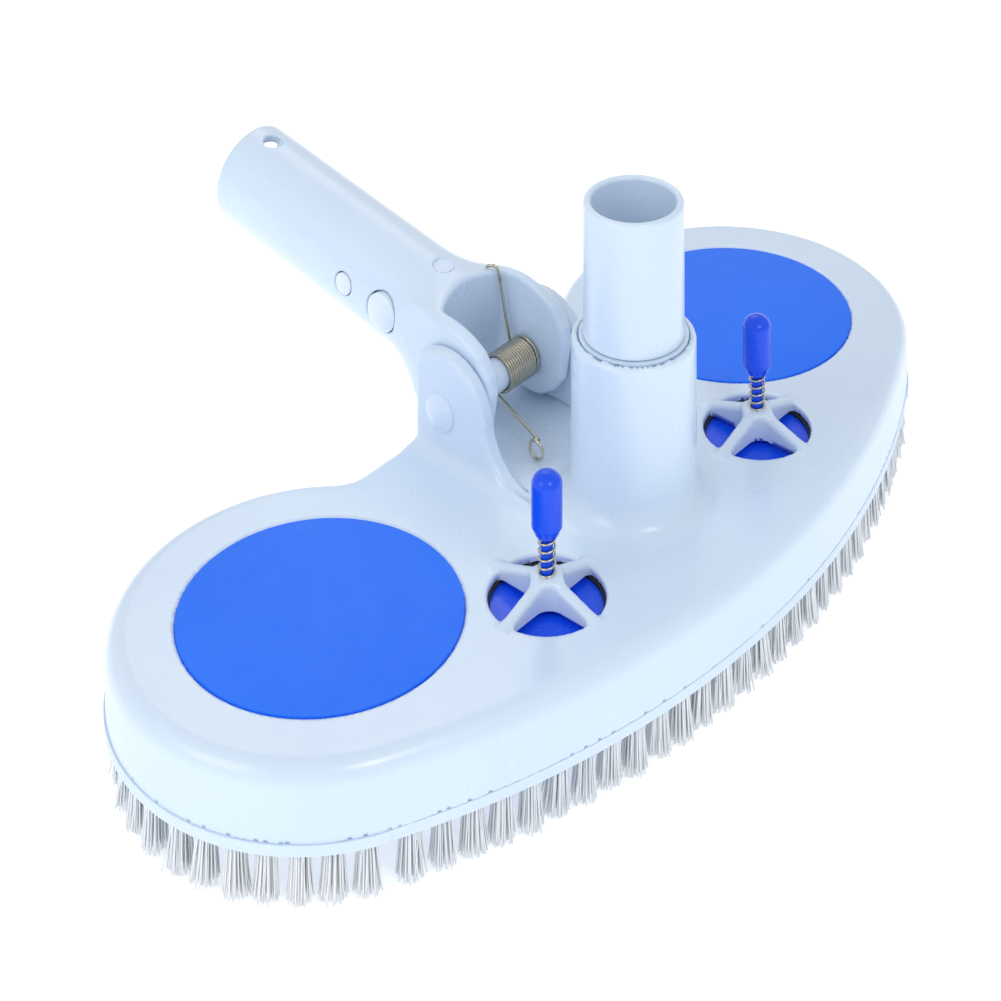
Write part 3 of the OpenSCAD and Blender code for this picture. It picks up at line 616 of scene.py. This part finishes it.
# The front is one arc that touches both lobes
DEPTH = LOBE_Y + FRONT
FRONT_R = (LOBE_X ** 2 + DEPTH ** 2 - LOBE_R ** 2) / (2 * (DEPTH - LOBE_R))
FRONT_CY = FRONT_R - FRONT
FRONT_TAN = LOBE_X / (FRONT_CY - LOBE_Y)
BLOCK_X = LOBE_X - 10
NOTCH_R, FOOT_R, EAR_FOOT_R = 6.0, 10.0, 6.0
PIN_Y, PIN_H = PIN.y, PIN.z - DECK
EAR_IN, EAR_OUT, EAR_R, EAR_BACK, FLARE = 25.5, 32.0, 22.0, 82.3, 22.0
EAR_FRONT, EAR_DEEP, EAR_END = PIN_Y - EAR_R - FLARE, -12, 95
FLARE_CURVE = [(EAR_FRONT + FLARE * math.sin(a), FLARE - FLARE * math.cos(a))
               for a in np.linspace(0, math.pi / 2, 10)]
EAR_SIDE = [(EAR_END, EAR_DEEP), (EAR_FRONT, EAR_DEEP)] + FLARE_CURVE + [(60, PIN_H), (EAR_END, PIN_H)]
SOCKET_R, SOCKET_H, NECK_H, MOUTH_H = 23.5, 59.8, 8.0, 2.5
SWIVEL_R, NECK_R, MOUTH_R = 19.7, 17.55, 20.85
GROOVE_R, GROOVE_HALF = 21.0, 0.85
GROOVE_H = SOCKET_H - NECK_H - 9.8          # below the neck come washer, flange, gap and half the snap ring
VALVE_X, VALVE_Y, VALVE_R, STEM_R = 63.1, -11.3, 20.9, 2.25
HUB_R, HUB_TOP, RIB_W, RIB_RUN, RIB_END = 5.4, 6.5, 4.6, 3.2, 0.5
RIB_SLOPE = 0.96            # keeps the distance true along the sloping ribs
COVER_R, LEDGE, CUP_FLOOR, CUP_BASE, POST_R, POST_TOP = 50.45, -2.6, -18.0, 2.5, 5.0, -8.0
BOSS_R, BOSS_FOOT, PILOT_R, PILOT_TOP, SCREW_REACH = 4.0, 5.0, 1.6, -7.5, 7.0
SCREWS = clusters(node_points("strip_screws")[:, :2], 8.0)


def outline_distance(x, y):
    """Half-moon seen from above: two lobes, the front arc, and the straight block between them at the rear."""
    wide = np.abs(x)
    lobe = np.hypot(wide - LOBE_X, y - LOBE_Y) - LOBE_R
    front = np.where(wide < (FRONT_CY - y) * FRONT_TAN, np.hypot(x, y - FRONT_CY) - FRONT_R, lobe)
    block = np.maximum(wide - BLOCK_X, y - REAR)
    return np.where(y < LOBE_Y, front, soft_min(lobe, block, NOTCH_R))


def ear_distance(wide, y, z):
    """Plate round the pivot pin whose front edge flares out towards the deck."""
    ear = np.minimum(polygon_distance(y, z, EAR_SIDE), np.hypot(y - PIN_Y, z - PIN_H) - EAR_R)
    ear = soft_max(ear, y - EAR_BACK, 2.0)
    return soft_max(soft_max(ear, wide - EAR_OUT, 2.6), EAR_IN - wide, 1.2)


def grille_distance(u, v, z):
    """Four ribs that rise to a hub."""
    reach = VALVE_R + RIB_RUN
    parts = []
    for along, across in ((np.abs(u), v), (np.abs(v), u)):
        top = RIB_END + (HUB_TOP - RIB_END) * np.clip((reach - along) / (reach - HUB_R), 0, 1)
        rib = soft_max(np.abs(across) - RIB_W / 2, (z - top) * RIB_SLOPE, 2.2)
        parts.append(np.maximum(rib, along - reach))
    hub = soft_max(np.hypot(u, v) - HUB_R, z - HUB_TOP, 1.6)
    return soft_min(soft_min(parts[0], parts[1], 3.0), hub, 3.0)


def with_grille(form, u, v, z):
    r = np.hypot(u, v)
    near = r < VALVE_R + RIB_RUN + 4
    grille = np.maximum(grille_distance(u, v, z), -WALL - z)
    form = np.where(near, soft_min(form, grille, 1.6), form)
    return np.where(near, soft_max(form, STEM_R - r, 0.3), form)


def with_cup(form, cup, z):
    """Pocket for a weight under its cover, with a ledge, a seam round the cover and a post in the middle."""
    wall = np.maximum(np.maximum(cup - COVER_R - 1.8, z + 1), CUP_FLOOR - CUP_BASE - z)
    form = np.minimum(form, wall)
    form = soft_max(form, -np.maximum(cup - COVER_R + 2.2, CUP_FLOOR - z), 0.4)
    form = soft_max(form, -np.maximum(cup - COVER_R + 0.3, LEDGE - z), 0.3)
    form = soft_max(form, 0.6 - np.hypot(cup - COVER_R + 0.1, z), 0.6)
    return np.minimum(form, np.maximum(np.maximum(cup - POST_R, z - POST_TOP), CUP_FLOOR - 1 - z))


def with_screw_bosses(form, x, y, z):
    for px, py in SCREWS:
        here = (np.abs(x - px) < SCREW_REACH) & (np.abs(y - py) < SCREW_REACH) & (z < 0)
        if here.any():
            r = np.hypot(x[here] - px, y[here] - py)
            boss = np.maximum(np.maximum(r - BOSS_R, z[here] + WALL - 0.5), BOSS_FOOT - SHELL_H - z[here])
            form[here] = np.maximum(np.minimum(form[here], boss), -np.maximum(r - PILOT_R, z[here] - PILOT_TOP))
    return form


def with_swivel_bore(form, axis, z):
    """Bore under the neck, the neck itself, the wider mouth and the snap ring's groove."""
    form = np.maximum(form, -np.maximum(axis - SWIVEL_R, z - SOCKET_H + NECK_H))
    form = np.maximum(form, NECK_R - axis)
    form = np.maximum(form, -np.maximum(axis - MOUTH_R, SOCKET_H - MOUTH_H - z))
    return np.maximum(form, -np.maximum(axis - GROOVE_R, np.abs(z - GROOVE_H) - GROOVE_HALF))


def shell_field(x, y, height):
    z = height - DECK
    wide, axis = np.abs(x), np.hypot(x, y)
    flat = outline_distance(x, y)
    form = round_edge(flat, z, EDGE)
    # the ears' fillet stays outside them, so that the fork has room between
    ear_foot = 0.2 + EAR_FOOT_R * np.clip((wide - 28) / 4, 0, 1)
    form = soft_min(form, ear_distance(wide, y, z), ear_foot)
    socket = soft_max(axis - SOCKET_R, z - SOCKET_H, 2.4)
    form = soft_min(form, socket, FOOT_R)
    form = np.maximum(form, -SHELL_H - SHELL_SINK - z)
    u, v = wide - VALVE_X, y - VALVE_Y
    hole = VALVE_R - np.hypot(u, v)
    form = soft_max(form, np.where(z > -WALL - 2, hole, -FAR), 1.2)
    hollow = round_edge(flat + WALL, z + WALL, EDGE - WALL)
    form = soft_max(form, -hollow, 0.6)
    form = with_grille(form, u, v, z)
    form = with_cup(form, np.hypot(wide - LOBE_X, y - LOBE_Y), z)
    form = with_screw_bosses(form, x, y, z)
    form = with_swivel_bore(form, axis, z)
    pin = np.where(wide < EAR_OUT + 8, PIN_BORE - np.hypot(y - PIN_Y, z - PIN_H), -FAR)
    return soft_max(form, pin, 0.4)


def add_shell():
    low = (-LOBE_X - LOBE_R - MARGIN, -FRONT - MARGIN, DECK - SHELL_H - 2)
    high = (LOBE_X + LOBE_R + MARGIN, LOBE_Y + LOBE_R + MARGIN, DECK + SOCKET_H + 1)
    add_form("shell_moulded", shell_field, low, high, SHELL_STEP, "body_white", "head", ["shell"])


add_camera()
add_studio()
add_bristles()
add_handle()
add_shell()
for part_side in ("left", "right"):
    add_valve_spring(part_side)
    add_cap(part_side)
    add_cover(part_side)
add_torsion_spring()
